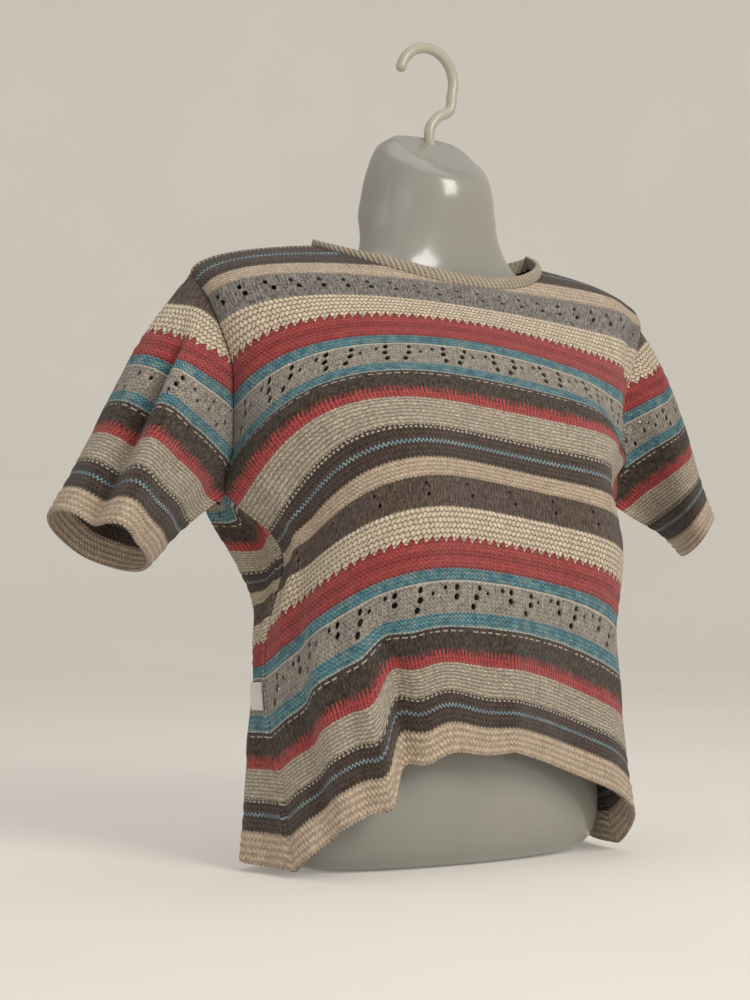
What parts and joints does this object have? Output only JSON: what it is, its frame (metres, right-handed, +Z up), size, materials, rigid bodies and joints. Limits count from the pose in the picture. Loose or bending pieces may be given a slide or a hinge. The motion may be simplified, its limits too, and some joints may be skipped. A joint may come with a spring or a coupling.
{
  "type": "cropped knit top on a hanging torso form",
  "caption": "Cropped striped knit top with short sleeves and a ribbed round neck, worn by a limbless white plastic torso form with its own hook.",
  "frame": {"origin": "on the flat bottom of the torso form, in the plane that halves the top from left to right", "axes": "+Z up, -Y out of the front of the top, +X towards the wearer's left sleeve"},
  "size_m": [0.5652, 0.1752, 0.5893],
  "materials": {
    "knit": "striped knit of cotton and mohair yarns",
    "rib": "cream rib knit",
    "label_cloth": "plain woven tape",
    "plastic": "smooth moulded white plastic"
  },
  "bodies": {
    "root": {"front": "knit", "back": "knit", "sleeve_right": "knit", "sleeve_left": "knit", "neckband": "rib", "side_label": "label_cloth", "torso_form": "plastic", "hook": "plastic"}
  },
  "joints": []
}
